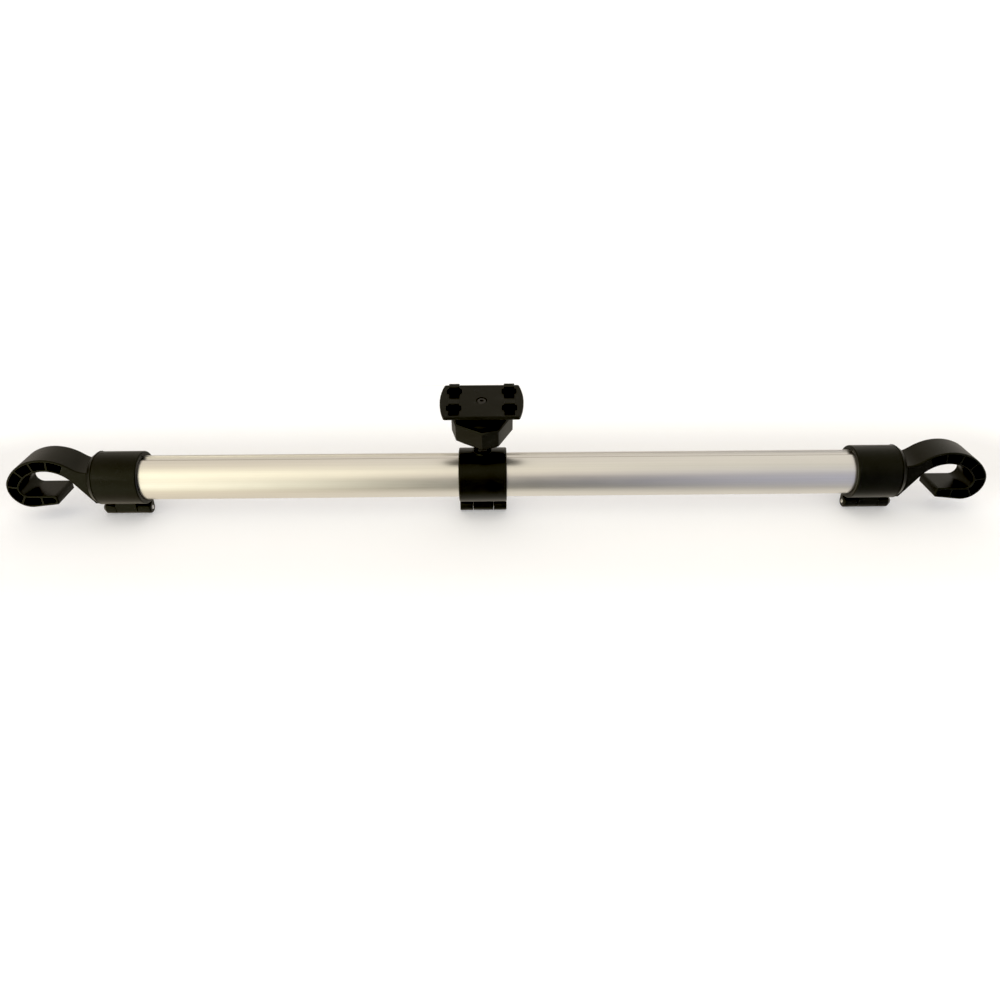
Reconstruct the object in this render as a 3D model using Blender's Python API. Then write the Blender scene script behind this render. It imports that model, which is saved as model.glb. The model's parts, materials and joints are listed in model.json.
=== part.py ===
"""Hook-on crossbar: a grooved aluminium tube with a moulded rail hook clamped on each end,
and a sliding centre clamp that carries a ball-mounted four-claw device plate.

X runs along the bar, +Z is up, and the hinged front jaws face -Y. The origin is on the tube's
axis, midway between the two hooks. Sizes are in millimetres and become metres in make().
"""

import math

import bmesh
import bpy
from mathutils import Vector

MM = 0.001
GAP = 0.3  # clearance that neighbouring pieces keep
SMOOTH_ANGLE = 32.0  # degrees: sharper edges stay crisp

# Tube
TUBE_RADIUS = 16.0
TUBE_WALL = 1.6
TUBE_HALF = 284.2
GROOVE_WIDTH = 6.6
GROOVE_DEPTH = 1.4
GROOVE_CORNER = 0.5

# Clamp shells, the same section at both ends and in the centre
SHELL_OUTER = 19.3
SHELL_INNER = TUBE_RADIUS + GAP
SHELL_CHAMFER = 0.6
LAP_ANGLE = 5.0  # the front jaw's lip laps over the rear shell by this much
LAP_RADIUS = 17.95
SEAM_GAP_ANGLE = 0.46  # half of the gap at a seam, in degrees
PAD_POCKET_RADIUS = 17.6
PAD_HALF_ANGLE = 55.0

# Hinge under each clamp
PIN_Z = -24.8
PIN_RADIUS = 1.6
BARREL_RADIUS = 4.5
BARREL_TAPERS = (0.9, 2.4)  # at the inner and outer ends of each end barrel
KNUCKLE_SHARES = (0.28, 0.44, 0.28)

# End pieces, measured outwards from the middle of the bar
MOUTH = 255.8
WALL_START = 284.7
WALL_RADIUS = 15.9  # the plug inside the jaw
COLLAR_END = 287.2  # where the jaw stops
FLANGE_EDGE = 288.1
FLANGE_END = 291.0
FLANGE_RADIUS = 17.2
END_BARREL = (256.6, 292.0)
SPIGOT_RADIUS = 13.9
SPIGOT_BORE = 10.0
SPIGOT_START = 272.0
SPIGOT_FLAT = 12.6
KEY_HALF_WIDTH = 3.0
KEY_BOTTOM = TUBE_RADIUS - GROOVE_DEPTH + GAP

# Rail hook: two arcs, one inside the other, with a root on the end wall and a straight lower arm
HOOK_HALF_WIDTH = 12.2
HOOK_CHAMFER = 0.6
ARCH = (322.1, -11.6)
ARCH_OUTER = 32.2
ARCH_INNER = 22.9
LOBE = (337.2, -2.7)
LOBE_OUTER = 14.7
LOBE_INNER = 5.4
LOBE_END = -99.0  # where the lobe's outer arc turns into the arm's underside
ARM_TIP = 317.4
ARM_TIP_THICKNESS = 7.2
ROOT_ANGLE = 128.0  # where the arch's outer arc sweeps out into the root
ROOT_FILLET = 17.5
ROOT_START = 289.5
LEG_ANGLE = 141.0  # where the arch's inner arc turns into the straight leg
LEG_FOOT = (291.2, -14.9)
WEB_HALF = 2.5
RIM = 1.7
RIB_HALF = 0.9
ARCH_RIBS = (48.8, 72.8, 96.6, 119.6, 143.2, 165.0)  # degrees round the arch's centre
LOBE_RIBS = (10.0, -60.0)  # degrees round the lobe's centre
ARM_RIB = 329.0

# Centre clamp
CLAMP_X = -11.0
CLAMP_HALF = 17.1
CLAMP_OUTER = 19.8
CLAMP_SEAM = 120.0
BOSS_RADIUS = 7.5
BOSS_TOP = 20.6

# Ball joint, heights measured from the ball's centre along the plate's axis
BALL_Z = 41.0
BALL_RADIUS = 10.0
BALL_FLAT_RADIUS = 4.0
NECK_RADIUS = 4.3
LEAN = 15.0  # degrees that the plate leans towards the front
SCREW_RADIUS = 1.95
SCREW_HOLE = 2.25
SEAT_OUTER = 11.3
CUP_INNER = 11.6
CUP_OUTER = 15.9
CUP_RIM = -0.4
CUP_SHOULDER = 8.0
CUP_NECK_RADIUS = 12.5
PLATE_BOTTOM = 17.0
PLATE_TOP = 20.0
RING_OUTER = 13.9
RING_BOTTOM = -6.4
NUT_TOP = 8.0
NUT_RIM = 6.6
NUT_TAPER = -6.0
NUT_BOTTOM = -11.0
NUT_CORNER_RADIUS = 21.6
NUT_TOP_RADIUS = 20.4
NUT_BOTTOM_RADIUS = 16.4
NUT_LIP_RADIUS = 8.3  # the lip that lifts the pressure ring
NUT_MOUTH_RADIUS = 10.3
NUT_CORNERS = (-90.0, -58.0, 0.0, 32.0)  # degrees from the front, repeated half a turn on

# Device plate
PLATE_HALF_WIDTH = 26.2
PLATE_BULGE = 2.7
PLATE_HALF_DEPTH = 17.9
PLATE_CORNER = 0.8
PLATE_CHAMFER = 0.4
CLAW_X = 19.0
CLAW_ROWS = (13.0, -5.6)
CLAW_HALF_WIDTH = 3.6
CLAW_HALF_DEPTH = 2.2
CLAW_TOP = 23.4
CLAW_UNDERSIDE = 21.9
RECESS_DEPTH = 2.0
RECESS_HEAD = (5.0, 5.4)  # half the width of the T's head, and how far it reaches to the front
RECESS_LENGTH = 11.0


# ---------------------------------------------------------------- shape helpers


def arc(centre, radius, start, end, step=7.5):
    """Points along an arc, with angles in degrees and both ends included."""
    count = max(1, math.ceil(abs(end - start) / step - 1e-6))
    turns = [math.radians(start + (end - start) * i / count) for i in range(count + 1)]
    return [(centre[0] + radius * math.cos(t), centre[1] + radius * math.sin(t)) for t in turns]


def polar(centre, radius, angle):
    return arc(centre, radius, angle, angle)[0]


def along_x(outline, x):
    """An outline given as (y, z), placed at x."""
    return [(x, y, z) for y, z in outline]


def along_y(outline, y, side=1):
    """An outline given as (x, z), placed at y; side -1 mirrors it to the left end."""
    return [(side * x, y, z) for x, z in outline]


def along_z(outline, z):
    """An outline given as (x, y), placed at z."""
    return [(x, y, z) for x, y in outline]


def add_loft(mesh, rings):
    """Adds a closed solid through rings of equal length, capped at both ends."""
    loops = [[mesh.verts.new(Vector(point)) for point in ring] for ring in rings]
    for lower, upper in zip(loops, loops[1:]):
        for i in range(len(lower)):
            j = (i + 1) % len(lower)
            mesh.faces.new((lower[i], lower[j], upper[j], upper[i]))
    mesh.faces.new(loops[0])
    mesh.faces.new(loops[-1])


def add_lathe(mesh, profile, steps=48, axis="Z", side=1):
    """Adds a closed profile of (radius, height) turned about the Z axis, or about X."""

    def place(radius, height, turn):
        across, up = radius * math.cos(turn), radius * math.sin(turn)
        return Vector((side * height, across, up) if axis == "X" else (across, up, height))

    rows = []
    for radius, height in profile:
        if radius == 0:
            rows.append([mesh.verts.new(place(0, height, 0))] * steps)
        else:
            rows.append([mesh.verts.new(place(radius, height, math.tau * i / steps)) for i in range(steps)])
    for row, following in zip(rows, rows[1:] + rows[:1]):
        for i in range(steps):
            j = (i + 1) % steps
            corners = list(dict.fromkeys((row[i], row[j], following[j], following[i])))
            if len(corners) > 2:
                mesh.faces.new(corners)


def make(name, mesh, finish=None, parent=None, origin=(0, 0, 0)):
    """Turns millimetres into an object in metres; without a finish it is a hidden cutter."""
    bmesh.ops.translate(mesh, vec=-Vector(origin), verts=mesh.verts)
    bmesh.ops.scale(mesh, vec=(MM, MM, MM), verts=mesh.verts)
    bmesh.ops.recalc_face_normals(mesh, faces=mesh.faces)
    data = bpy.data.meshes.new(name)
    mesh.to_mesh(data)
    mesh.free()
    data.shade_smooth()
    data.set_sharp_from_angle(angle=math.radians(SMOOTH_ANGLE))
    obj = bpy.data.objects.new(name, data)
    bpy.context.scene.collection.objects.link(obj)
    obj.location = Vector(origin) * MM
    obj.parent = parent
    if finish:
        data.materials.append(finish)
    else:
        obj.hide_render = True
        obj.display_type = "WIRE"
        obj.hide_set(True)
    return obj


def lofted(name, rings, finish=None, parent=None, origin=(0, 0, 0)):
    mesh = bmesh.new()
    add_loft(mesh, rings)
    return make(name, mesh, finish, parent, origin)


def turned(name, profile, finish=None, parent=None, origin=(0, 0, 0), steps=48):
    mesh = bmesh.new()
    add_lathe(mesh, profile, steps)
    return make(name, mesh, finish, parent, origin)


def combine(obj, other, operation):
    modifier = obj.modifiers.new(other.name, "BOOLEAN")
    modifier.operation = operation
    modifier.solver = "EXACT"
    modifier.object = other


def empty(name, location, parent=None, lean=0.0):
    obj = bpy.data.objects.new(name, None)
    bpy.context.scene.collection.objects.link(obj)
    obj.location = Vector(location) * MM
    obj.rotation_euler.x = math.radians(lean)
    obj.parent = parent
    return obj


def material(name, colour, roughness, metallic=0.0):
    made = bpy.data.materials.new(name)
    made.use_nodes = True
    shader = made.node_tree.nodes["Principled BSDF"]
    shader.inputs["Base Color"].default_value = (*colour, 1.0)
    shader.inputs["Roughness"].default_value = roughness
    shader.inputs["Metallic"].default_value = metallic
    made.diffuse_color = (*colour, 1.0)
    return made


# ---------------------------------------------------------------- tube


def tube_section(radius, slot_half, slot_floor, corner):
    """A circle with a flat-floored slot let into its top."""
    edge = math.degrees(math.acos(slot_half / radius))
    outline = arc((0, 0), radius, 180 - edge, 360 + edge, 5.0)
    floor = slot_floor + corner
    return outline + arc((slot_half - corner, floor), corner, 0, -90, 30.0) + arc(
        (corner - slot_half, floor), corner, 270, 180, 30.0
    )


def bar_tube(finish):
    half = GROOVE_WIDTH / 2
    floor = TUBE_RADIUS - GROOVE_DEPTH
    outer = tube_section(TUBE_RADIUS, half, floor, GROOVE_CORNER)
    inner = tube_section(TUBE_RADIUS - TUBE_WALL, half + TUBE_WALL, floor - TUBE_WALL, GROOVE_CORNER)
    tube = lofted("bar_tube", [along_x(outer, -TUBE_HALF), along_x(outer, TUBE_HALF)], finish)
    reach = TUBE_HALF + 1
    combine(tube, lofted("tube_bore", [along_x(inner, -reach), along_x(inner, reach)]), "DIFFERENCE")


# ---------------------------------------------------------------- clamp shells


def rear_section(seam, outer, trim):
    """The fixed shell, from the hinge round the back to the seam, with a shelf for the jaw's lip."""
    return (
        arc((0, 0), outer - trim, -90 + SEAM_GAP_ANGLE, seam - LAP_ANGLE)
        + arc((0, 0), LAP_RADIUS - trim, seam - LAP_ANGLE, seam - SEAM_GAP_ANGLE)
        + arc((0, 0), SHELL_INNER, seam - SEAM_GAP_ANGLE, -90 + SEAM_GAP_ANGLE)
    )


def jaw_section(seam, outer, trim):
    """The hinged shell, from the seam round the front to the hinge, with a lip over the shelf."""
    lip = seam - LAP_ANGLE + 2 * SEAM_GAP_ANGLE
    return (
        arc((0, 0), outer - trim, 270 - SEAM_GAP_ANGLE, lip)
        + arc((0, 0), LAP_RADIUS + GAP - trim / 2, lip, seam + SEAM_GAP_ANGLE)
        + arc((0, 0), SHELL_INNER, seam + SEAM_GAP_ANGLE, 270 - SEAM_GAP_ANGLE)
    )


def shell_rings(section, seam, outer, start, end, chamfer_end=True):
    """The section along X from start to end, chamfered at the start and, unless it runs on, at the end."""
    step = math.copysign(SHELL_CHAMFER, end - start)
    levels = [(SHELL_CHAMFER, start), (0, start + step)]
    levels += [(0, end - step), (SHELL_CHAMFER, end)] if chamfer_end else [(0, end)]
    return [along_x(section(seam, outer, trim), x) for trim, x in levels]


def knuckle_section(radius, towards, web=True):
    """A barrel round the pin; towards is +1 for the rear shell, -1 for the front one it has a web to."""
    barrel = arc((0, PIN_Z), radius, 90 - towards * 2.0, 90 - towards * 358.0, 20.0)
    below = [(y, z) for y, z in barrel if y * towards <= 0 or z <= PIN_Z]
    if web:
        top = -(SHELL_INNER + SHELL_OUTER) / 2
        return [(towards * GAP / 2, top), (towards * radius, top + 0.6), (towards * radius, PIN_Z)] + below
    return [polar((0, PIN_Z), radius, 90 - towards * turn) for turn in (2, 45, 90)] + below


def knuckle_rings(start, end, towards):
    """One knuckle along X, webbed all along."""
    whole = knuckle_section(BARREL_RADIUS, towards)
    return [along_x(whole, start), along_x(whole, end)]


def end_knuckle_rings(inner, outer, side):
    """The two knuckles of an end hook; both taper, and the outer one's web stops with the collar."""
    whole = knuckle_section(BARREL_RADIUS, 1)
    barrel = knuckle_section(BARREL_RADIUS, 1, False)
    near_tip = knuckle_section(BARREL_RADIUS - BARREL_TAPERS[0], 1)
    far_tip = knuckle_section(BARREL_RADIUS - BARREL_TAPERS[1], 1, False)
    near = ((near_tip, inner[0]), (whole, inner[0] + BARREL_TAPERS[0]), (whole, inner[1]))
    far = ((whole, outer[0]), (whole, COLLAR_END), (barrel, COLLAR_END),
           (barrel, outer[1] - BARREL_TAPERS[1]), (far_tip, outer[1]))
    return [[along_x(section, side * x) for section, x in rings] for rings in (near, far)]


def knuckle_limits(start, end):
    """Three knuckles with a gap between them."""
    length = end - start - 2 * GAP
    limits = []
    for share in KNUCKLE_SHARES:
        limits.append((start, start + share * length))
        start += share * length + GAP
    return limits


def pad_section(inner, outer, half_angle, towards):
    middle = 0 if towards > 0 else 180
    return arc((0, 0), outer, middle - half_angle, middle + half_angle) + arc(
        (0, 0), inner, middle + half_angle, middle - half_angle
    )


def pad_and_pocket(prefix, shell, start, end, towards, finish, parent=None):
    """A rubber grip pad, and the pocket in the shell that holds it."""
    pocket = pad_section(TUBE_RADIUS - 1, PAD_POCKET_RADIUS, PAD_HALF_ANGLE, towards)
    cutter = lofted(prefix + "_pocket", [along_x(pocket, start), along_x(pocket, end)], None, parent)
    combine(shell, cutter, "DIFFERENCE")
    inset = math.copysign(GAP, end - start)
    section = pad_section(SHELL_INNER, PAD_POCKET_RADIUS - GAP, PAD_HALF_ANGLE - 1.0, towards)
    lofted(prefix + "_pad", [along_x(section, start + inset), along_x(section, end - inset)], finish, parent)


def hinge_pin(name, start, end, finish, parent=None):
    mesh = bmesh.new()
    add_lathe(mesh, [(0, start), (PIN_RADIUS - 0.3, start), (PIN_RADIUS, start + 0.3),
                     (PIN_RADIUS, end - 0.3), (PIN_RADIUS - 0.3, end), (0, end)], 16, "X")
    bmesh.ops.translate(mesh, vec=(0, 0, PIN_Z), verts=mesh.verts)
    make(name, mesh, finish, parent, (0, 0, PIN_Z))


def pin_bore(name, start, end, parent=None):
    """A through bore for the hinge pin."""
    circle = arc((0, PIN_Z), PIN_RADIUS + GAP, 0, 337.5, 22.5)
    return lofted(name, [along_x(circle, start), along_x(circle, end)], None, parent)


# ---------------------------------------------------------------- end hooks


def hook_outline(inset):
    """The hook's side view for the right end, drawn in by inset all round."""
    fillet = polar(ARCH, ARCH_OUTER + ROOT_FILLET, ROOT_ANGLE)
    root = ROOT_START + inset
    join = math.degrees(math.atan2(LOBE[1] - ARCH[1], LOBE[0] - ARCH[0]))
    top = [(root, fillet[1] - ROOT_FILLET - inset)]
    top += arc(fillet, ROOT_FILLET + inset, -90, ROOT_ANGLE - 180, 8.0)
    outer = arc(ARCH, ARCH_OUTER - inset, ROOT_ANGLE, join, 5.0)[1:]
    outer += arc(LOBE, LOBE_OUTER - inset, join, LOBE_END, 9.0)[1:]
    tip, floor = ARM_TIP + inset, LOBE[1] - LOBE_INNER - inset
    tip_low = floor - ARM_TIP_THICKNESS + 2 * inset
    nose = [(tip + 1.0, tip_low), (tip, tip_low + 1.0), (tip, floor - 1.9), (tip + 0.8, floor - 0.7),
            (tip + 2.3, floor)]
    inner = arc(LOBE, LOBE_INNER + inset, -90, join, 15.0)
    inner += arc(ARCH, ARCH_INNER + inset, join, LEG_ANGLE, 5.0)[1:]
    knee = polar(ARCH, ARCH_INNER, LEG_ANGLE)
    slope = math.atan2(knee[1] - LEG_FOOT[1], knee[0] - LEG_FOOT[0])
    foot = (LEG_FOOT[0] + inset / math.tan(slope) - inset / math.sin(slope), LEG_FOOT[1] + inset)
    return top + outer + nose + inner + [foot, (root, foot[1])]


def radial_rib(centre, angle, start, end):
    """A thin wall across the hook, pointing at centre."""
    across = (RIB_HALF * math.sin(math.radians(angle)), -RIB_HALF * math.cos(math.radians(angle)))
    near, far = polar(centre, start, angle), polar(centre, end, angle)
    corners = ((near, -1), (near, 1), (far, 1), (far, -1))
    return [(point[0] + side * across[0], point[1] + side * across[1]) for point, side in corners]


def core_cutter(name, side):
    """What is cored out of both faces of the hook: all but a rim, a web in the middle and the ribs."""
    outline = hook_outline(RIM)
    reach = HOOK_HALF_WIDTH + 1
    cores = bmesh.new()
    for face in (-1, 1):
        add_loft(cores, [along_y(outline, face * WEB_HALF, side), along_y(outline, face * reach, side)])
    core = make(name, cores)
    outlines = [radial_rib(ARCH, angle, ARCH_INNER - 1, ARCH_OUTER + 4) for angle in ARCH_RIBS]
    outlines += [radial_rib(LOBE, angle, LOBE_INNER, LOBE_OUTER + 1) for angle in LOBE_RIBS]
    outlines.append(radial_rib((ARM_RIB, 0), -90, 6, 18))
    ribs = bmesh.new()
    for outline in outlines:
        add_loft(ribs, [along_y(outline, y, side) for y in (-reach - 1, reach + 1)])
    combine(core, make(name + "_ribs", ribs), "DIFFERENCE")
    return core


def end_hook(name, side, finish):
    """Rail hook, end wall and rear half of the collar, moulded as one piece."""
    inset = HOOK_CHAMFER
    hook = lofted(name, [along_y(hook_outline(trim), y, side) for trim, y in (
        (inset, -HOOK_HALF_WIDTH), (0, inset - HOOK_HALF_WIDTH),
        (0, HOOK_HALF_WIDTH - inset), (inset, HOOK_HALF_WIDTH))], finish)
    combine(hook, core_cutter(name + "_cells", side), "DIFFERENCE")

    wall = bmesh.new()
    flange = COLLAR_END + GAP
    profile = [(0, WALL_START), (WALL_RADIUS, WALL_START), (WALL_RADIUS, flange), (SHELL_OUTER, flange),
               (SHELL_OUTER, FLANGE_EDGE), (FLANGE_RADIUS, FLANGE_END), (0, FLANGE_END)]
    add_lathe(wall, profile, 48, "X", side)
    combine(hook, make(name + "_wall", wall), "UNION")
    shell = shell_rings(rear_section, 90.0, SHELL_OUTER, side * MOUTH, side * (COLLAR_END + 2 * GAP), False)
    combine(hook, lofted(name + "_shell", shell), "UNION")

    knuckles = bmesh.new()
    limits = knuckle_limits(*END_BARREL)
    for rings in end_knuckle_rings(limits[0], limits[2], side):
        add_loft(knuckles, rings)
    combine(hook, make(name + "_knuckles", knuckles), "UNION")
    combine(hook, pin_bore(name + "_pin_bore", side * 250, side * 300), "DIFFERENCE")

    spigot = bmesh.new()
    add_lathe(spigot, [(SPIGOT_BORE, SPIGOT_START), (SPIGOT_RADIUS, SPIGOT_START),
                       (SPIGOT_RADIUS, WALL_START + 1), (SPIGOT_BORE, WALL_START + 1)], 30, "X", side)
    cup = make(name + "_spigot", spigot)
    flat = [(-20, SPIGOT_FLAT), (20, SPIGOT_FLAT), (20, 20), (-20, 20)]
    shave = lofted(name + "_spigot_flat", [along_x(flat, side * x) for x in (SPIGOT_START - 1, WALL_START)])
    combine(cup, shave, "DIFFERENCE")
    combine(hook, cup, "UNION")

    key_top = TUBE_RADIUS - 0.1
    key = [(-KEY_HALF_WIDTH, KEY_BOTTOM), (KEY_HALF_WIDTH, KEY_BOTTOM), (KEY_HALF_WIDTH, SHELL_INNER + 0.8),
           (0.4, SHELL_INNER + 0.8), (0.4, key_top), (-KEY_HALF_WIDTH, key_top - 0.4)]
    rib = lofted(name + "_key", [along_x(key, side * x) for x in (MOUTH + 0.8, WALL_START + 0.5)])
    combine(hook, rib, "UNION")
    return hook


def end_clamp(word, side, plastic, rubber, steel):
    """One end of the bar: hook piece, hinged jaw, hinge pin and two grip pads."""
    hook = end_hook(word + "_end_hook", side, plastic)
    shell = shell_rings(jaw_section, 90.0, SHELL_OUTER, side * MOUTH, side * COLLAR_END, False)
    jaw = lofted(word + "_jaw", shell, plastic, None, (side * MOUTH, 0, PIN_Z))
    start, end = knuckle_limits(*END_BARREL)[1]
    knuckle = lofted(word + "_jaw_knuckle", knuckle_rings(side * start, side * end, -1))
    combine(jaw, knuckle, "UNION")
    combine(jaw, pin_bore(word + "_jaw_pin_bore", side * 250, side * 300), "DIFFERENCE")
    pad_limits = (side * (MOUTH + 4), side * (WALL_START - 6))
    pad_and_pocket(word + "_rear_grip", hook, *pad_limits, 1, rubber)
    pad_and_pocket(word + "_front_grip", jaw, *pad_limits, -1, rubber)
    low, high = sorted((side * (END_BARREL[0] - 0.3), side * (END_BARREL[1] - 0.4)))
    hinge_pin(word + "_hinge_pin", low, high, steel)


# ---------------------------------------------------------------- centre clamp


def centre_clamp(carriage, plastic, rubber, steel):
    shell = shell_rings(rear_section, CLAMP_SEAM, CLAMP_OUTER, -CLAMP_HALF, CLAMP_HALF)
    body = lofted("centre_clamp_body", shell, plastic, carriage)
    boss = turned("centre_boss", [(0, 17.0), (BOSS_RADIUS, 17.0), (BOSS_RADIUS, BOSS_TOP - 0.4),
                                  (BOSS_RADIUS - 0.4, BOSS_TOP), (0, BOSS_TOP)], None, carriage)
    combine(body, boss, "UNION")
    limits = knuckle_limits(-CLAMP_HALF, CLAMP_HALF)
    knuckles = bmesh.new()
    for start, end in (limits[0], limits[2]):
        add_loft(knuckles, knuckle_rings(start, end, 1))
    combine(body, make("centre_body_knuckles", knuckles, None, carriage), "UNION")
    keys = bmesh.new()
    for start, end in ((-CLAMP_HALF + 0.8, -8.0), (8.0, CLAMP_HALF - 0.8)):
        outline = [(-KEY_HALF_WIDTH, KEY_BOTTOM), (KEY_HALF_WIDTH, KEY_BOTTOM), (KEY_HALF_WIDTH, 17.0),
                   (-KEY_HALF_WIDTH, 17.0)]
        add_loft(keys, [along_x(outline, start), along_x(outline, end)])
    combine(body, make("centre_keys", keys, None, carriage), "UNION")
    countersink = [(0, 15.0), (4.1, 15.0), (4.1, 16.6), (SCREW_HOLE, 18.45), (SCREW_HOLE, BOSS_TOP + 1),
                   (0, BOSS_TOP + 1)]
    hole = turned("stud_screw_hole", countersink, None, carriage, steps=32)
    combine(body, hole, "DIFFERENCE")
    combine(body, pin_bore("centre_body_pin_bore", -20, 20, carriage), "DIFFERENCE")

    shell = shell_rings(jaw_section, CLAMP_SEAM, CLAMP_OUTER, -CLAMP_HALF, CLAMP_HALF)
    jaw = lofted("centre_jaw", shell, plastic, carriage, (0, 0, PIN_Z))
    combine(jaw, lofted("centre_jaw_knuckle", knuckle_rings(*limits[1], -1), None, carriage), "UNION")
    combine(jaw, pin_bore("centre_jaw_pin_bore", -20, 20, carriage), "DIFFERENCE")

    pad_limits = (-CLAMP_HALF + 4, CLAMP_HALF - 4)
    pad_and_pocket("centre_rear_grip", body, *pad_limits, 1, rubber, carriage)
    pad_and_pocket("centre_front_grip", jaw, *pad_limits, -1, rubber, carriage)
    hinge_pin("centre_hinge_pin", -CLAMP_HALF - 0.2, CLAMP_HALF + 0.2, steel, carriage)


# ---------------------------------------------------------------- ball joint and device plate


def sphere_arc(radius, low, high, step=12.0):
    """(radius, height) points on a sphere about the ball's centre, from height low to high."""
    return arc((0, 0), radius, math.degrees(math.asin(low / radius)),
               math.degrees(math.asin(high / radius)), step)


def ball_stud(carriage, steel):
    neck_low = -math.sqrt(BALL_RADIUS**2 - NECK_RADIUS**2)
    flat = math.sqrt(BALL_RADIUS**2 - BALL_FLAT_RADIUS**2)
    foot = BOSS_TOP + GAP - BALL_Z
    profile = [(SCREW_HOLE, foot), (5.4, foot), (5.4, foot + 2.6), (NECK_RADIUS, foot + 3.4)]
    profile += sphere_arc(BALL_RADIUS, neck_low, flat) + [(0, flat), (0, -9.5), (SCREW_HOLE, -9.5)]
    origin = (0, 0, BALL_Z)
    mesh = bmesh.new()
    add_lathe(mesh, profile, 32)
    bmesh.ops.translate(mesh, vec=origin, verts=mesh.verts)
    stud = make("ball_stud", mesh, steel, carriage, origin)
    hexagon = arc((0, 0), 6.35, 0, 300, 60.0)
    ring = bmesh.new()
    add_loft(ring, [along_z(hexagon, BOSS_TOP + GAP), along_z(hexagon, BOSS_TOP + GAP + 2.3)])
    combine(stud, make("stud_hexagon", ring, None, carriage), "UNION")
    clearance = turned("stud_screw_bore", [(0, 15), (SCREW_HOLE, 15), (SCREW_HOLE, BALL_Z - 9.5),
                                           (0, BALL_Z - 9.5)], None, carriage, steps=24)
    combine(stud, clearance, "DIFFERENCE")


def stud_screw(carriage, steel):
    """Countersunk screw that holds the ball stud from inside the clamp."""
    profile = [(0, 16.6), (3.8, 16.6), (3.8, 16.8), (SCREW_RADIUS, 18.65), (SCREW_RADIUS, 30.6), (0, 30.6)]
    screw = turned("stud_screw", profile, steel, carriage, steps=32)
    combine(screw, hex_socket("stud_screw_socket", 15.6, 17.6, carriage), "DIFFERENCE")


def hex_socket(name, low, high, parent):
    hexagon = arc((0, 0), 1.45, 0, 300, 60.0)
    return lofted(name, [along_z(hexagon, low), along_z(hexagon, high)], None, parent)


def ball_socket(leaning, plastic):
    """Cup over the ball, threaded outside for the nut, with a neck up to the plate."""
    top = PLATE_BOTTOM - GAP
    profile = [(CUP_INNER, CUP_RIM), (CUP_OUTER - 0.4, CUP_RIM), (CUP_OUTER, CUP_RIM + 0.4),
               (CUP_OUTER, CUP_SHOULDER), (CUP_NECK_RADIUS, CUP_SHOULDER + 2.5), (CUP_NECK_RADIUS, top),
               (SCREW_HOLE, top), (SCREW_HOLE, 12.6), (0, 12.6), (0, CUP_INNER)]
    profile += sphere_arc(CUP_INNER, 0, CUP_INNER * math.cos(math.radians(9)))[::-1]
    turned("ball_socket", profile, plastic, leaning, steps=36)


def ball_seat(leaning, rubber):
    inner = sphere_arc(BALL_RADIUS + GAP, 0.2, 9.0)
    outer = sphere_arc(SEAT_OUTER, 0.2, 9.9)
    turned("ball_seat", inner + outer[::-1], rubber, leaning, steps=32)


def pressure_ring(leaning, plastic):
    inner = sphere_arc(BALL_RADIUS + GAP, RING_BOTTOM, CUP_RIM - GAP)
    outer = [(RING_OUTER, CUP_RIM - GAP), (RING_OUTER, RING_BOTTOM + 0.6), (RING_OUTER - 0.6, RING_BOTTOM)]
    turned("pressure_ring", inner + outer, plastic, leaning, steps=32)


def nut_outline(radius):
    """Eight corners, so that broad and narrow facets alternate."""
    corners = [angle + turn for turn in (0, 180) for angle in NUT_CORNERS]
    return [polar((0, 0), radius, angle - 90) for angle in corners]


def clamp_nut(leaning, plastic):
    rings = [(NUT_BOTTOM_RADIUS, NUT_BOTTOM), (NUT_CORNER_RADIUS, NUT_TAPER),
             (NUT_CORNER_RADIUS, NUT_RIM), (NUT_TOP_RADIUS, NUT_TOP)]
    shape = [along_z(nut_outline(radius), height) for radius, height in rings]
    nut = lofted("clamp_nut", shape, plastic, leaning)
    thread, pocket, ring_low = CUP_OUTER + GAP, RING_OUTER + GAP, RING_BOTTOM - GAP
    bore = [(0, NUT_BOTTOM - 1), (NUT_MOUTH_RADIUS, NUT_BOTTOM - 1), (NUT_LIP_RADIUS, ring_low),
            (pocket, ring_low), (pocket, CUP_RIM - GAP), (thread, CUP_RIM - GAP), (thread, NUT_TOP + 1),
            (0, NUT_TOP + 1)]
    combine(nut, turned("nut_bore", bore, None, leaning, steps=36), "DIFFERENCE")


def plate_outline(inset):
    """A rectangle whose two short ends bow outwards."""
    half, depth = PLATE_HALF_WIDTH - inset, PLATE_HALF_DEPTH - inset
    reach = depth - PLATE_CORNER
    bow = (reach**2 + PLATE_BULGE**2) / (2 * PLATE_BULGE)
    sweep = math.degrees(math.asin(reach / bow))
    right = arc((half + PLATE_BULGE - bow, 0), bow, -sweep, sweep, sweep / 4)
    corner = PLATE_CORNER
    outline = [(half - corner, -depth)] + right + [(half - corner, depth)]
    return outline + [(-x, -y) for x, y in outline]


def claw_profile(row):
    """Side view of a claw: a post at the back with a nose that overhangs forwards."""
    back, front, post = row + CLAW_HALF_DEPTH, row - CLAW_HALF_DEPTH, row + 0.2
    return [(back, PLATE_TOP - 1), (back, CLAW_TOP - 0.6), (back - 0.6, CLAW_TOP), (front + 0.4, CLAW_TOP),
            (front, CLAW_TOP - 0.4), (front, CLAW_UNDERSIDE), (post, CLAW_UNDERSIDE), (post, PLATE_TOP - 1)]


def claw_recess(row, x):
    """The T-shaped recess in front of a claw."""
    head, stem = RECESS_HEAD[0], CLAW_HALF_WIDTH
    back, step, front = row - 0.1, row - RECESS_HEAD[1], row - RECESS_LENGTH
    return [(x + head, back), (x - head, back), (x - head, step), (x - stem, step), (x - stem, front),
            (x + stem, front), (x + stem, step), (x + head, step)]


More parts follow.
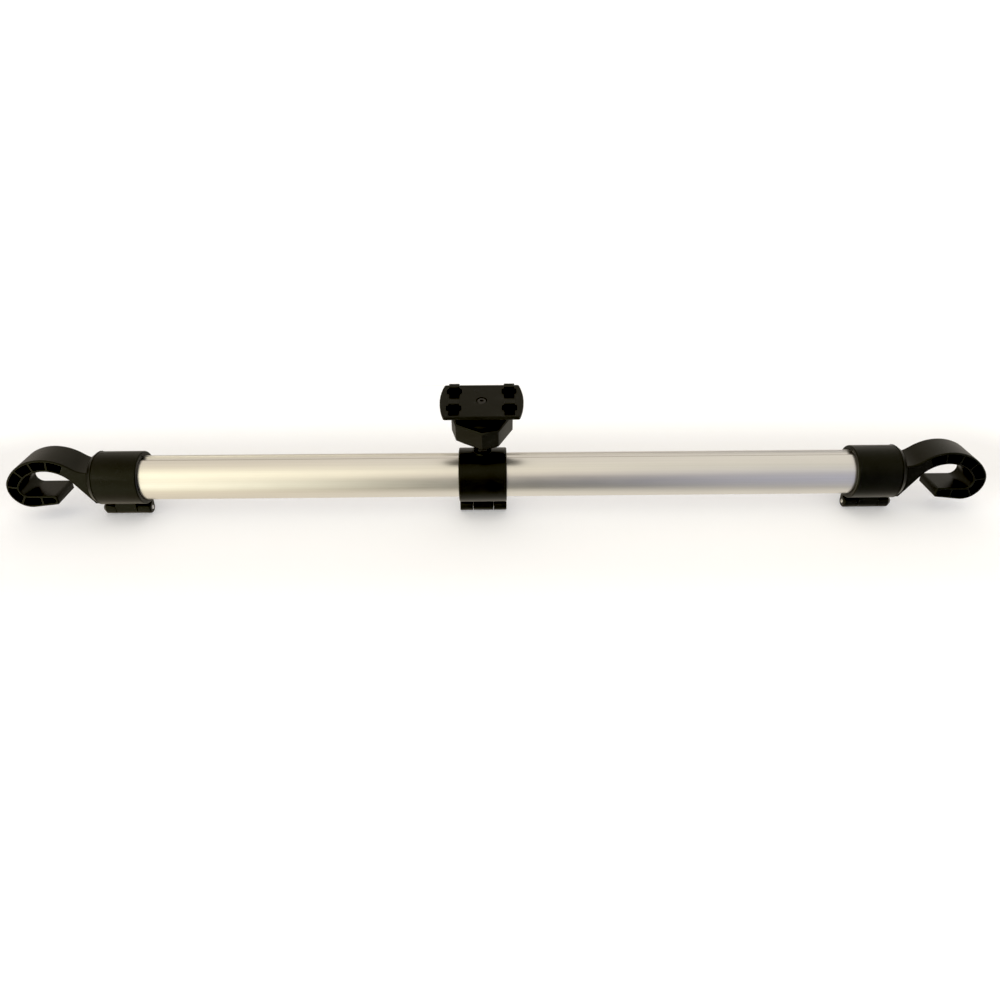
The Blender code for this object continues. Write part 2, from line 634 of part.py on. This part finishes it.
def device_plate(leaning, plastic):
    """Plate with four claws, 38 mm apart across, each with a recess in front."""
    levels = ((PLATE_CHAMFER, PLATE_BOTTOM), (0, PLATE_BOTTOM + PLATE_CHAMFER),
              (0, PLATE_TOP - PLATE_CHAMFER), (PLATE_CHAMFER, PLATE_TOP))
    shape = [along_z(plate_outline(inset), z) for inset, z in levels]
    plate = lofted("device_plate", shape, plastic, leaning)
    claws, recesses = bmesh.new(), bmesh.new()
    for x in (-CLAW_X, CLAW_X):
        for row in CLAW_ROWS:
            profile = claw_profile(row)
            add_loft(claws, [along_x(profile, x - CLAW_HALF_WIDTH), along_x(profile, x + CLAW_HALF_WIDTH)])
            recess = claw_recess(row, x)
            add_loft(recesses, [along_z(recess, PLATE_TOP - RECESS_DEPTH), along_z(recess, PLATE_TOP + 0.5)])
    combine(plate, make("claw_recesses", recesses, None, leaning), "DIFFERENCE")
    combine(plate, make("claws", claws, None, leaning), "UNION")
    counterbore = [(0, 15), (SCREW_HOLE, 15), (SCREW_HOLE, 18.4), (3.6, 18.4), (3.6, 21), (0, 21)]
    combine(plate, turned("plate_screw_hole", counterbore, None, leaning, steps=32), "DIFFERENCE")


def plate_screw(leaning, steel):
    profile = [(0, 13.0), (SCREW_RADIUS, 13.0), (SCREW_RADIUS, 18.7), (3.3, 18.7), (3.3, 19.4), (2.9, 19.8),
               (0, 19.8)]
    screw = turned("plate_screw", profile, steel, leaning, steps=32)
    combine(screw, hex_socket("plate_screw_socket", 18.9, 21.0, leaning), "DIFFERENCE")


# ---------------------------------------------------------------- assembly


def build():
    for obj in list(bpy.data.objects):
        bpy.data.objects.remove(obj, do_unlink=True)

    plastic = material("black_plastic", (0.012, 0.012, 0.012), 0.42)
    inner_plastic = material("inner_plastic", (0.03, 0.03, 0.032), 0.5)
    rubber = material("grip_rubber", (0.02, 0.02, 0.02), 0.85)
    aluminium = material("brushed_aluminium", (0.78, 0.77, 0.75), 0.3, 1.0)
    steel = material("zinc_steel", (0.6, 0.6, 0.6), 0.3, 1.0)
    dark_steel = material("dark_steel", (0.05, 0.05, 0.055), 0.35, 1.0)

    bar_tube(aluminium)
    end_clamp("left", -1, plastic, rubber, steel)
    end_clamp("right", 1, plastic, rubber, steel)

    carriage = empty("clamp_carriage", (CLAMP_X, 0, 0))
    centre_clamp(carriage, plastic, rubber, steel)
    ball_stud(carriage, dark_steel)
    stud_screw(carriage, steel)

    leaning = empty("leaning_axis", (0, 0, BALL_Z), carriage, LEAN)
    pressure_ring(leaning, inner_plastic)
    ball_seat(leaning, rubber)
    ball_socket(leaning, plastic)
    clamp_nut(leaning, plastic)
    device_plate(leaning, plastic)
    plate_screw(leaning, dark_steel)


build()
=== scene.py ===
"""Looks of the hook-on crossbar: materials, rounded edges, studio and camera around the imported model."""

import json
import math

import bpy
from mathutils import Matrix, Vector

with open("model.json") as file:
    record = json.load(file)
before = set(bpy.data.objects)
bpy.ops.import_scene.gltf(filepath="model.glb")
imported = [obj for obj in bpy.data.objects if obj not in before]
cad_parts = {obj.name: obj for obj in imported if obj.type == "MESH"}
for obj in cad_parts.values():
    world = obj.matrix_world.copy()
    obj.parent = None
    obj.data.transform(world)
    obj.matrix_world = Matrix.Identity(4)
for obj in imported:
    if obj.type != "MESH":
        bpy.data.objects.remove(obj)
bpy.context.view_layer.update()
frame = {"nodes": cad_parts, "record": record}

MM = 0.001

# Camera: in front of the bar and above it, looking down; lengths in millimetres, angles in radians
CAMERA_DISTANCE = 584.0
CAMERA_PITCH = 0.52
CAMERA_YAW = -0.0075
CAMERA_ROLL = -0.005
CAMERA_ACROSS = 1.41
CAMERA_UP = -18.68
CAMERA_LENS = 28.8
SENSOR_WIDTH = 36.0

# Pieces, in millimetres
GROOVE_LIP = (-3.5, 15.6)  # Y and Z of the front lip of the tube's groove
# half width of the line of painted shade along that lip
GROOVE_LIP_SHADE_REACH = 0.45
WELD_REACH = 0.01
EDGE_ROUND = 0.15
SHARP_EDGE = 40  # degrees between the faces of an edge that gets rounded

# Floor: its height in millimetres, then the sizes of the cove round it in metres
FLOOR_Z = -30.0
COVE_FLAT = 2.8
COVE_BEND = 1.6
COVE_HEIGHT = 2.6
COVE_BEND_STEPS = 16
COVE_SIDES = 96

# Painted light from the floor's own glow, against the distance in metres from the strip behind the bar,
# where a lower glow paints shade
SHADE_Y = 0.08
SHADE_HALF_LENGTH = 0.4
FLOOR_PAINTED_GLOW = ((0.03, 0.05), (0.055, 0.12), (0.085, 0.23), (0.11, 0.22), (0.16, 0.2), (0.23, 0.3),
              (0.45, 0.42))

# Key light, in metres and watts, aimed at the origin
KEY_PLACE = (-0.3, -0.4, 1.6)
KEY_SIZE = (2.4, 2.0)
KEY_POWER = 1.5
KEY_COLOUR = (1.0, 0.985, 0.96)

BLACK_LEVEL = 0.009  # the camera's crushed shadows

# What the room looks like around the bar, as (degrees from straight up towards the front, colour):
# a bright ceiling, a dark band at the front horizon and a pale floor, warmer on the left
ROOM_LEFT = (
    (-105, (0.36, 0.33, 0.29)), (-75, (0.66, 0.60, 0.52)), (-35, (0.80, 0.72, 0.60)),
    (0, (0.86, 0.77, 0.62)), (25, (1.10, 1.0, 0.77)), (50, (1.65, 1.55, 1.18)),
    (85, (1.40, 1.30, 1.0)), (115, (1.65, 1.58, 1.25)), (135, (1.2, 1.1, 0.83)),
    (152, (0.98, 0.86, 0.66)), (200, (0.86, 0.77, 0.61)),
)
ROOM_MIDDLE = (
    (-105, (0.5, 0.46, 0.41)), (-75, (0.82, 0.75, 0.66)), (-35, (0.84, 0.77, 0.66)),
    (0, (0.88, 0.82, 0.70)), (25, (0.95, 0.88, 0.72)), (52, (1.04, 0.94, 0.76)),
    (70, (0.58, 0.50, 0.43)), (88, (0.10, 0.09, 0.08)), (134, (0.09, 0.085, 0.07)),
    (154, (0.72, 0.67, 0.56)), (180, (0.92, 0.85, 0.72)),
)
ROOM_RIGHT = (
    (-105, (0.5, 0.46, 0.41)), (-75, (0.82, 0.76, 0.68)), (-35, (0.87, 0.82, 0.72)),
    (0, (0.86, 0.80, 0.70)), (25, (0.76, 0.73, 0.63)), (50, (0.74, 0.71, 0.68)),
    (72, (0.54, 0.53, 0.57)), (95, (0.53, 0.53, 0.62)), (120, (0.55, 0.54, 0.58)),
    (150, (0.54, 0.51, 0.46)), (180, (0.84, 0.78, 0.67)),
)
LOWEST_ANGLE = -120.0
ROOM_SPREAD = 0.36  # sideways lean of a direction at which the left or right room has fully taken over


# ---------------------------------------------------------------- camera


def make_camera():
    right = Vector((1, 0, 0))
    forward = Vector((0, math.cos(CAMERA_PITCH), -math.sin(CAMERA_PITCH)))
    up = Vector((0, math.sin(CAMERA_PITCH), math.cos(CAMERA_PITCH)))
    turn = Matrix.Rotation(CAMERA_YAW, 3, "Z")
    right, forward, up = turn @ right, turn @ forward, turn @ up
    cosine, sine = math.cos(CAMERA_ROLL), math.sin(CAMERA_ROLL)
    rolled_right = cosine * right + sine * up
    rolled_up = cosine * up - sine * right
    place = (-CAMERA_DISTANCE * forward + CAMERA_ACROSS * rolled_right + CAMERA_UP * rolled_up) * MM
    camera = bpy.data.objects.new("camera", bpy.data.cameras.new("camera"))
    camera.data.lens = CAMERA_LENS
    camera.data.sensor_width = SENSOR_WIDTH
    camera.data.clip_start = 0.01
    camera.matrix_world = Matrix((
        (rolled_right.x, rolled_up.x, -forward.x, place.x),
        (rolled_right.y, rolled_up.y, -forward.y, place.y),
        (rolled_right.z, rolled_up.z, -forward.z, place.z),
        (0, 0, 0, 1),
    ))
    bpy.context.scene.collection.objects.link(camera)
    bpy.context.scene.camera = camera


# ---------------------------------------------------------------- materials


def feed(links, sockets, values):
    """Links each socket to its value where that is a node's output, and otherwise sets it to the value."""
    for socket, value in zip(sockets, values):
        if isinstance(value, bpy.types.NodeSocket):
            links.new(value, socket)
        else:
            socket.default_value = value


def colour_ramp(nodes, links, value, stops):
    """Maps a value to colours; stops are (position, colour)."""
    node = nodes.new("ShaderNodeValToRGB")
    elements = node.color_ramp.elements
    while len(elements) < len(stops):
        elements.new(0.5)
    for element, (place, colour) in zip(elements, stops):
        element.position = place
        element.color = (*colour, 1)
    links.new(value, node.inputs["Fac"])
    return node.outputs["Color"]


def colour_mix(nodes, links, factor, first, second):
    node = nodes.new("ShaderNodeMix")
    node.data_type = "RGBA"
    colours = [(*value, 1) if isinstance(value, tuple) else value for value in (first, second)]
    feed(links, [socket for socket in node.inputs if socket.enabled], (factor, *colours))
    return next(socket for socket in node.outputs if socket.enabled)


def math_node(nodes, links, operation, first, second):
    node = nodes.new("ShaderNodeMath")
    node.operation = operation
    feed(links, node.inputs, (first, second))
    return node.outputs[0]


class Shader:
    """A Principled material with a few helpers that keep the node code short."""

    def __init__(self, name):
        self.material = bpy.data.materials.new(name)
        self.material.use_nodes = True
        self.nodes = self.material.node_tree.nodes
        self.links = self.material.node_tree.links
        self.surface = self.nodes["Principled BSDF"]
        self.position = self.nodes.new("ShaderNodeNewGeometry").outputs["Position"]

    def set(self, **values):
        for name, value in values.items():
            self.surface.inputs[name.replace("_", " ")].default_value = value

    def link(self, output, name):
        self.links.new(output, self.surface.inputs[name])

    def vector_math(self, operation, first, second):
        node = self.nodes.new("ShaderNodeVectorMath")
        node.operation = operation
        feed(self.links, node.inputs, (first, second))
        return node.outputs["Value" if operation == "DISTANCE" else "Vector"]

    def noise(self, scale, detail=3.0, stretch=(1, 1, 1), roughness=0.5):
        node = self.nodes.new("ShaderNodeTexNoise")
        node.inputs["Scale"].default_value = scale
        node.inputs["Detail"].default_value = detail
        node.inputs["Roughness"].default_value = roughness
        self.links.new(self.vector_math("MULTIPLY", self.position, stretch), node.inputs["Vector"])
        return node.outputs["Fac"]

    def distance_from_strip(self, centre, half_length):
        """Distance in metres, across the floor, from a strip along X that lies at this Y."""
        along = self.vector_math("MULTIPLY", self.position, (1, 0, 0))
        beyond = self.vector_math("ABSOLUTE", along, (0, 0, 0))
        beyond = self.vector_math("SUBTRACT", beyond, (half_length, 0, 0))
        beyond = self.vector_math("MAXIMUM", beyond, (0, 0, 0))
        across = self.vector_math("MULTIPLY", self.position, (0, 1, 0))
        across = self.vector_math("SUBTRACT", across, (0, centre, 0))
        return self.vector_math("DISTANCE", beyond, across)

    def ramp(self, value, stops):
        """Maps a value to greys; stops are (position, grey)."""
        return colour_ramp(self.nodes, self.links, value, [(place, (grey,) * 3) for place, grey in stops])

    def mix(self, factor, first, second):
        return colour_mix(self.nodes, self.links, factor, first, second)

    def edge_wear(self, low, high):
        """White on convex edges, black elsewhere."""
        pointiness = self.nodes.new("ShaderNodeNewGeometry").outputs["Pointiness"]
        return self.ramp(pointiness, ((low, 0.0), (high, 1.0)))

    def bump(self, heights):
        """Chains bump nodes; heights are (value, strength, distance in metres)."""
        normal = None
        for value, strength, distance in heights:
            node = self.nodes.new("ShaderNodeBump")
            node.inputs["Strength"].default_value = strength
            node.inputs["Distance"].default_value = distance
            self.links.new(value, node.inputs["Height"])
            if normal is not None:
                self.links.new(normal, node.inputs["Normal"])
            normal = node.outputs["Normal"]
        self.link(normal, "Normal")


def moulded_plastic(name, dark, light, smooth, rough):
    """Moulded plastic: fine spark-eroded grain, faint flow marks, handling gloss and worn edges."""
    shader = Shader(name)
    cloud = shader.noise(60.0, 4.0)
    flow = shader.noise(220.0, 2.0, (0.25, 1, 1))
    specks = shader.noise(3200.0, 2.0)
    colour = shader.mix(shader.ramp(cloud, ((0.35, 0.0), (0.7, 1.0))), dark, light)
    wear = shader.edge_wear(0.52, 0.62)
    worn = tuple(channel * 2.0 + 0.002 for channel in light)
    colour = shader.mix(wear, colour, worn)
    shader.link(colour, "Base Color")
    gloss = shader.mix(0.35, shader.ramp(cloud, ((0.3, smooth), (0.75, rough))),
                       shader.ramp(specks, ((0.35, smooth), (0.65, rough))))
    shader.link(gloss, "Roughness")
    shader.set(IOR=1.46, Specular_IOR_Level=0.2, Specular_Tint=(0.98, 1.0, 0.82, 1.0))
    shader.bump(((specks, 0.2, 0.00006), (flow, 0.12, 0.0002), (cloud, 0.1, 0.0004)))
    return shader.material


def groove_lip_painted_shade(shader):
    """Painted shade: a dark line along the front lip of the tube's groove."""
    split = shader.nodes.new("ShaderNodeSeparateXYZ")
    shader.links.new(shader.position, split.inputs[0])
    near = []
    for value, place in zip((split.outputs["Y"], split.outputs["Z"]), GROOVE_LIP):
        away = math_node(shader.nodes, shader.links, "SUBTRACT", value, place * MM)
        away = math_node(shader.nodes, shader.links, "ABSOLUTE", away, 0.0)
        near.append(math_node(shader.nodes, shader.links, "LESS_THAN", away, GROOVE_LIP_SHADE_REACH * MM))
    return math_node(shader.nodes, shader.links, "MULTIPLY", *near)


def satin_aluminium(name):
    """Anodised extrusion: fine die lines along the bar, soft cloudy tone and a few handling marks."""
    shader = Shader(name)
    lines = shader.noise(1500.0, 3.0, (0.004, 1, 1), 0.6)
    coarse = shader.noise(420.0, 2.0, (0.006, 1, 1))
    cloud = shader.noise(14.0, 4.0)
    marks = shader.noise(90.0, 5.0, (0.35, 1, 1), 0.7)
    streaks = shader.ramp(lines, ((0.3, 0.0), (0.7, 1.0)))
    tone = shader.mix(streaks, (0.76, 0.75, 0.735), (0.83, 0.82, 0.805))
    tone = shader.mix(shader.ramp(cloud, ((0.3, 0.0), (0.75, 0.25))), tone, (0.72, 0.715, 0.71))
    # painted shade: a darker line along the front lip of the groove
    tone = shader.mix(groove_lip_painted_shade(shader), tone, (0.45, 0.43, 0.4))
    shader.link(tone, "Base Color")
    rough = shader.mix(0.5, shader.ramp(lines, ((0.3, 0.27), (0.7, 0.36))),
                       shader.ramp(marks, ((0.35, 0.29), (0.75, 0.4))))
    shader.link(rough, "Roughness")
    shader.set(Metallic=1.0, Anisotropic=0.35)
    tangent = shader.nodes.new("ShaderNodeTangent")
    tangent.direction_type = "RADIAL"
    tangent.axis = "X"
    shader.link(tangent.outputs[0], "Tangent")
    shader.bump(((lines, 0.12, 0.00004), (coarse, 0.08, 0.00008)))
    return shader.material


def plated_steel(name, dark, light, smooth, rough):
    """Plated or blackened steel: fine turning marks and a faint stain."""
    shader = Shader(name)
    turning = shader.noise(900.0, 3.0)
    stain = shader.noise(160.0, 4.0)
    shader.link(shader.mix(stain, dark, light), "Base Color")
    shader.link(shader.ramp(turning, ((0.3, smooth), (0.7, rough))), "Roughness")
    shader.set(Metallic=1.0)
    shader.bump(((turning, 0.15, 0.00004),))
    return shader.material


def soft_rubber(name):
    """Matt rubber with a fine grain and a little dust."""
    shader = Shader(name)
    grain = shader.noise(2600.0, 3.0)
    dust = shader.noise(140.0, 4.0)
    dusty = shader.ramp(dust, ((0.45, 0.0), (0.8, 0.6)))
    shader.link(shader.mix(dusty, (0.012, 0.012, 0.012), (0.04, 0.038, 0.035)), "Base Color")
    shader.link(shader.ramp(grain, ((0.3, 0.72), (0.7, 0.9))), "Roughness")
    shader.bump(((grain, 0.3, 0.00008),))
    return shader.material


FINISHES = {
    "black_plastic": lambda: moulded_plastic("moulded_black", (0.0024, 0.0024, 0.0024),
                                             (0.0042, 0.0041, 0.0038), 0.26, 0.36),
    "inner_plastic": lambda: moulded_plastic("moulded_grey", (0.012, 0.012, 0.012),
                                             (0.02, 0.02, 0.021), 0.45, 0.6),
    "grip_rubber": lambda: soft_rubber("grip_rubber"),
    "brushed_aluminium": lambda: satin_aluminium("satin_aluminium"),
    "zinc_steel": lambda: plated_steel("zinc_plate", (0.55, 0.56, 0.58), (0.72, 0.72, 0.7), 0.2, 0.34),
    "dark_steel": lambda: plated_steel("black_oxide", (0.03, 0.03, 0.032), (0.06, 0.058, 0.055), 0.28, 0.42),
}


def round_edges(obj):
    """Joins the node's triangles at their corners and rounds its hard edges, as moulding does."""
    data = obj.data
    if "custom_normal" in data.attributes:
        data.attributes.remove(data.attributes["custom_normal"])
    for face in data.polygons:
        face.use_smooth = True
    weld = obj.modifiers.new("weld", "WELD")
    weld.merge_threshold = WELD_REACH * MM
    bevel = obj.modifiers.new("rounded_edges", "BEVEL")
    bevel.width = EDGE_ROUND * MM
    bevel.segments = 2
    bevel.limit_method = "ANGLE"
    bevel.angle_limit = math.radians(SHARP_EDGE)
    bevel.use_clamp_overlap = False
    obj.modifiers.new("flat_faces", "WEIGHTED_NORMAL")


def dress_nodes():
    """Gives every CAD node its finish, and rounds its edges."""
    made = {slot: build() for slot, build in FINISHES.items()}
    slots = {part["node"]: part["material_slot"] for part in frame["record"]["subparts"]}
    for name, obj in frame["nodes"].items():
        obj.data.materials.clear()
        obj.data.materials.append(made[slots[name]])
        round_edges(obj)


# ---------------------------------------------------------------- studio


def make_key_light():
    """One large soft light over the bar's near side."""
    light = bpy.data.lights.new("key", "AREA")
    light.shape = "RECTANGLE"
    light.size, light.size_y = KEY_SIZE
    light.energy = KEY_POWER
    light.color = KEY_COLOUR
    obj = bpy.data.objects.new("key", light)
    obj.location = KEY_PLACE
    obj.rotation_euler = (-Vector(KEY_PLACE)).to_track_quat("-Z", "Y").to_euler()
    obj.visible_glossy = False
    bpy.context.scene.collection.objects.link(obj)


def make_floor():
    """Pale seamless cove: a round floor that curves up into a backdrop on every side, glowing with painted
    light that dims near the bar to painted shade.
    """
    z = FLOOR_Z * MM
    bends = [math.pi / 2 * i / COVE_BEND_STEPS for i in range(COVE_BEND_STEPS + 1)]
    profile = [(COVE_FLAT + COVE_BEND * math.sin(a), z + COVE_BEND * (1 - math.cos(a))) for a in bends]
    profile.append((COVE_FLAT + COVE_BEND, z + COVE_HEIGHT))
    turns = [math.tau * i / COVE_SIDES for i in range(COVE_SIDES)]
    points = [(radius * math.cos(turn), radius * math.sin(turn), height)
              for radius, height in profile for turn in turns]
    faces = [tuple(range(COVE_SIDES))]
    for ring in range(len(profile) - 1):
        lower, upper = ring * COVE_SIDES, (ring + 1) * COVE_SIDES
        for i in range(COVE_SIDES):
            after = (i + 1) % COVE_SIDES
            faces.append((lower + i, upper + i, upper + after, lower + after))
    mesh = bpy.data.meshes.new("floor")
    mesh.from_pydata(points, [], faces)
    mesh.shade_smooth()
    floor = bpy.data.objects.new("floor", mesh)
    bpy.context.scene.collection.objects.link(floor)
    paper = Shader("paper_floor_painted_glow")
    paper.link(paper.mix(paper.noise(2.0, 3.0), (0.84, 0.86, 0.92), (0.87, 0.89, 0.95)), "Base Color")
    paper.set(Roughness=0.9, Emission_Color=(0.97, 0.96, 0.94, 1))
    # Painted light: the floor's glow, lower near the bar where it paints the bar's shade
    painted_glow = paper.ramp(paper.distance_from_strip(SHADE_Y, SHADE_HALF_LENGTH), FLOOR_PAINTED_GLOW)
    paper.link(painted_glow, "Emission Strength")
    mesh.materials.append(paper.material)
    floor.visible_glossy = False


def room_world():
    """The lit room: three bands of colour round the bar's axis, blended from left to right."""
    world = bpy.data.worlds.new("studio")
    world.use_nodes = True
    nodes, links = world.node_tree.nodes, world.node_tree.links
    direction = nodes.new("ShaderNodeSeparateXYZ")
    links.new(nodes.new("ShaderNodeTexCoord").outputs["Generated"], direction.inputs[0])
    forward = math_node(nodes, links, "MULTIPLY", direction.outputs["Y"], -1.0)
    angle = math_node(nodes, links, "ARCTAN2", forward, direction.outputs["Z"])
    turned = math_node(nodes, links, "ADD", angle, math.tau - math.radians(LOWEST_ANGLE))
    turned = math_node(nodes, links, "MODULO", turned, math.tau)
    share = math_node(nodes, links, "DIVIDE", turned, math.tau)

    def band(stops):
        shares = [((degrees - LOWEST_ANGLE) / 360, colour) for degrees, colour in stops]
        return colour_ramp(nodes, links, share, shares)

    def blend(reach, first, second):
        factor = nodes.new("ShaderNodeMapRange")
        factor.interpolation_type = "SMOOTHSTEP"
        factor.inputs["From Max"].default_value = reach
        links.new(direction.outputs["X"], factor.inputs["Value"])
        return colour_mix(nodes, links, factor.outputs["Result"], first, second)

    room = blend(-ROOM_SPREAD, band(ROOM_MIDDLE), band(ROOM_LEFT))
    room = blend(ROOM_SPREAD, room, band(ROOM_RIGHT))
    links.new(room, nodes["Background"].inputs["Color"])
    return world


def make_studio():
    bpy.context.scene.world = room_world()
    make_key_light()
    make_floor()
    view = bpy.context.scene.view_settings
    view.view_transform = "Standard"
    view.use_curve_mapping = True
    view.curve_mapping.black_level = (BLACK_LEVEL,) * 3


make_camera()
dress_nodes()
make_studio()
